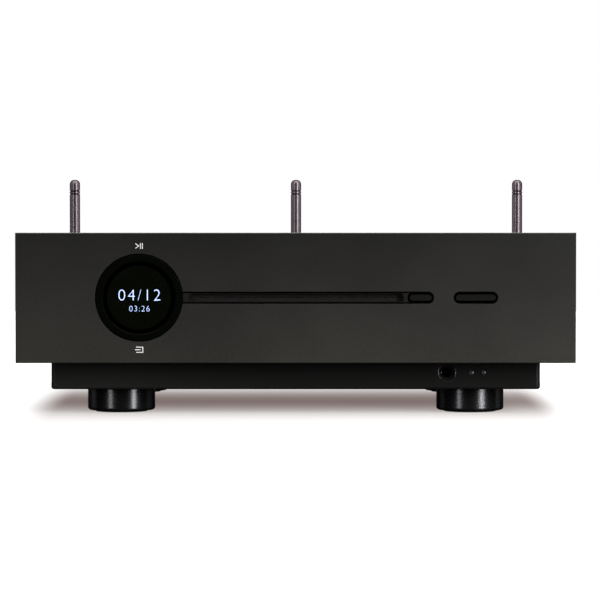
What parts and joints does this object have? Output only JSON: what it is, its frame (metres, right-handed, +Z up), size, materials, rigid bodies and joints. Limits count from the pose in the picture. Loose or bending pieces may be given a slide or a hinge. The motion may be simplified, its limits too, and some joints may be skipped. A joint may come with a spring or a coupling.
{
  "type": "streaming amplifier",
  "caption": "Low hi-fi amplifier with a thick front panel, round display in a control ring, long disc slot, push buttons, round feet and short rear aerials.",
  "frame": {"origin": "on the floor under the middle of the whole object", "axes": "+X to the right seen from the front, +Y to the back, +Z up"},
  "size_m": [0.32, 0.32, 0.136],
  "materials": {
    "panel_metal": "fine bead-blasted and anodised",
    "insert_metal": "bead-blasted and anodised, darker on its flanks",
    "cap_metal": "satin anodised",
    "ring_gloss": "polished black",
    "window_glass": "smoked clear",
    "screen": "dark screen",
    "holder_plastic": "moulded black",
    "plinth_paint": "fine satin black",
    "foot_metal": "turned and anodised black",
    "pad_rubber": "plain black rubber",
    "sink_metal": "extruded and anodised black",
    "case_paint": "fine textured black",
    "tray_steel": "zinc-plated sheet",
    "screw_black": "black zinc",
    "screw_zinc": "bright zinc",
    "felt": "dense brown-black felt",
    "socket_plastic": "moulded black",
    "socket_ring": "thin satin rim",
    "lens_clear": "smoky clear",
    "board_green": "solder mask",
    "winding_tape": "wrapped tape",
    "capacitor_sleeve": "shrink sleeve",
    "transistor_body": "moulded black",
    "gold": "gold-plated",
    "nickel": "bright nickel",
    "post_black": "clear black",
    "post_red": "clear red",
    "aerial_metal": "satin dark grey",
    "knuckle_metal": "satin black",
    "roller_rubber": "grey rubber",
    "drive_plastic": "moulded dark grey"
  },
  "bodies": {
    "chassis": {"front_panel": "panel_metal", "slot_insert": "insert_metal", "felt_lips": "felt", "base_tray": "tray_steel", "heat_sink_left": "sink_metal", "heat_sink_right": "sink_metal", "top_cover": "case_paint", "rear_panel": "case_paint", "plinth": "plinth_paint", "feet": "foot_metal", "foot_pads": "pad_rubber", "foot_screws": "screw_zinc", "case_screws": "screw_black", "panel_screws": "screw_zinc", "display_window": "window_glass", "display_module": "screen", "display_holder": "holder_plastic", "control_bracket": "tray_steel", "control_board": "board_green", "button_board": "board_green", "headphone_jack": "socket_plastic", "headphone_ring": "socket_ring", "indicator_lenses": "lens_clear", "headphone_board": "board_green", "power_transformer": "winding_tape", "transformer_clamp": "screw_zinc", "power_supply_board": "board_green", "smoothing_capacitors": "capacitor_sleeve", "amplifier_boards": "board_green", "output_transistors": "transistor_body", "main_board": "board_green", "drive_frame": "tray_steel", "drive_lid": "tray_steel", "drive_grommets": "pad_rubber", "spindle_motor": "nickel", "sled_rods": "nickel", "mains_inlet": "socket_plastic", "rca_sockets": "gold", "network_socket": "nickel", "data_sockets": "nickel", "binding_post_bases": "gold", "aerial_sockets": "gold"},
    "standby_button": {"standby_button": "cap_metal"},
    "eject_button": {"eject_button": "cap_metal"},
    "control_cradle": {"control_cradle": "holder_plastic"},
    "control_ring": {"control_ring": "ring_gloss"},
    "mains_rocker": {"mains_rocker": "socket_plastic"},
    "disc_turntable": {"disc_turntable": "drive_plastic"},
    "loading_roller": {"loading_roller": "roller_rubber"},
    "laser_sled": {"laser_sled": "drive_plastic"},
    "binding_post_cap_1": {"binding_post_cap_1": "post_red"},
    "binding_post_cap_2": {"binding_post_cap_2": "post_black"},
    "binding_post_cap_3": {"binding_post_cap_3": "post_red"},
    "binding_post_cap_4": {"binding_post_cap_4": "post_black"},
    "aerial_knuckle_left": {"aerial_knuckle_left": "knuckle_metal"},
    "aerial_rod_left": {"aerial_rod_left": "aerial_metal"},
    "aerial_knuckle_centre": {"aerial_knuckle_centre": "knuckle_metal"},
    "aerial_rod_centre": {"aerial_rod_centre": "aerial_metal"},
    "aerial_knuckle_right": {"aerial_knuckle_right": "knuckle_metal"},
    "aerial_rod_right": {"aerial_rod_right": "aerial_metal"}
  },
  "joints": [
    {"name": "standby_press", "type": "slide", "parent": "chassis", "child": "standby_button", "axis": [0, 1, 0], "range_m": [0, 0.0005], "stiffness_N_per_m": 400},
    {"name": "eject_press", "type": "slide", "parent": "chassis", "child": "eject_button", "axis": [0, 1, 0], "range_m": [0, 0.0005], "stiffness_N_per_m": 400},
    {"name": "ring_rock", "type": "hinge", "parent": "chassis", "child": "control_cradle", "pos_m": [-0.0894, -0.146, 0.068], "axis": [1, 0, 0], "range_deg": [-1, 1], "stiffness_Nm_per_rad": 3},
    {"name": "ring_turn", "type": "hinge", "parent": "control_cradle", "child": "control_ring", "pos_m": [-0.0894, -0.146, 0.068], "axis": [0, 1, 0], "continuous": true},
    {"name": "mains_switch", "type": "hinge", "parent": "chassis", "child": "mains_rocker", "pos_m": [-0.11, 0.137, 0.0771], "axis": [1, 0, 0], "range_deg": [0, 20]},
    {"name": "disc_spin", "type": "hinge", "parent": "chassis", "child": "disc_turntable", "pos_m": [0.00035, -0.045, 0.06], "axis": [0, 0, 1], "continuous": true},
    {"name": "roller_spin", "type": "hinge", "parent": "chassis", "child": "loading_roller", "pos_m": [0.00035, -0.124, 0.0632], "axis": [1, 0, 0], "continuous": true},
    {"name": "sled_slide", "type": "slide", "parent": "chassis", "child": "laser_sled", "axis": [0, 1, 0], "range_m": [0, 0.03]},
    {"name": "post_cap_1_turn", "type": "hinge", "parent": "chassis", "child": "binding_post_cap_1", "pos_m": [-0.062, 0.15, 0.058], "axis": [0, 1, 0], "range_deg": [0, 1080]},
    {"name": "post_cap_2_turn", "type": "hinge", "parent": "chassis", "child": "binding_post_cap_2", "pos_m": [-0.04295, 0.15, 0.058], "axis": [0, 1, 0], "range_deg": [0, 1080]},
    {"name": "post_cap_3_turn", "type": "hinge", "parent": "chassis", "child": "binding_post_cap_3", "pos_m": [-0.022, 0.15, 0.058], "axis": [0, 1, 0], "range_deg": [0, 1080]},
    {"name": "post_cap_4_turn", "type": "hinge", "parent": "chassis", "child": "binding_post_cap_4", "pos_m": [-0.00295, 0.15, 0.058], "axis": [0, 1, 0], "range_deg": [0, 1080]},
    {"name": "aerial_left_swivel", "type": "hinge", "parent": "chassis", "child": "aerial_knuckle_left", "pos_m": [-0.1455, 0.15, 0.08], "axis": [0, 1, 0], "range_deg": [-90, 90]},
    {"name": "aerial_left_fold", "type": "hinge", "parent": "aerial_knuckle_left", "child": "aerial_rod_left", "pos_m": [-0.1455, 0.15, 0.08], "axis": [-1, 0, 0], "range_deg": [0, 90]},
    {"name": "aerial_centre_swivel", "type": "hinge", "parent": "chassis", "child": "aerial_knuckle_centre", "pos_m": [0, 0.15, 0.08], "axis": [0, 1, 0], "range_deg": [-90, 90]},
    {"name": "aerial_centre_fold", "type": "hinge", "parent": "aerial_knuckle_centre", "child": "aerial_rod_centre", "pos_m": [0, 0.15, 0.08], "axis": [-1, 0, 0], "range_deg": [0, 90]},
    {"name": "aerial_right_swivel", "type": "hinge", "parent": "chassis", "child": "aerial_knuckle_right", "pos_m": [0.1455, 0.15, 0.08], "axis": [0, 1, 0], "range_deg": [-90, 90]},
    {"name": "aerial_right_fold", "type": "hinge", "parent": "aerial_knuckle_right", "child": "aerial_rod_right", "pos_m": [0.1455, 0.15, 0.08], "axis": [-1, 0, 0], "range_deg": [0, 90]}
  ]
}
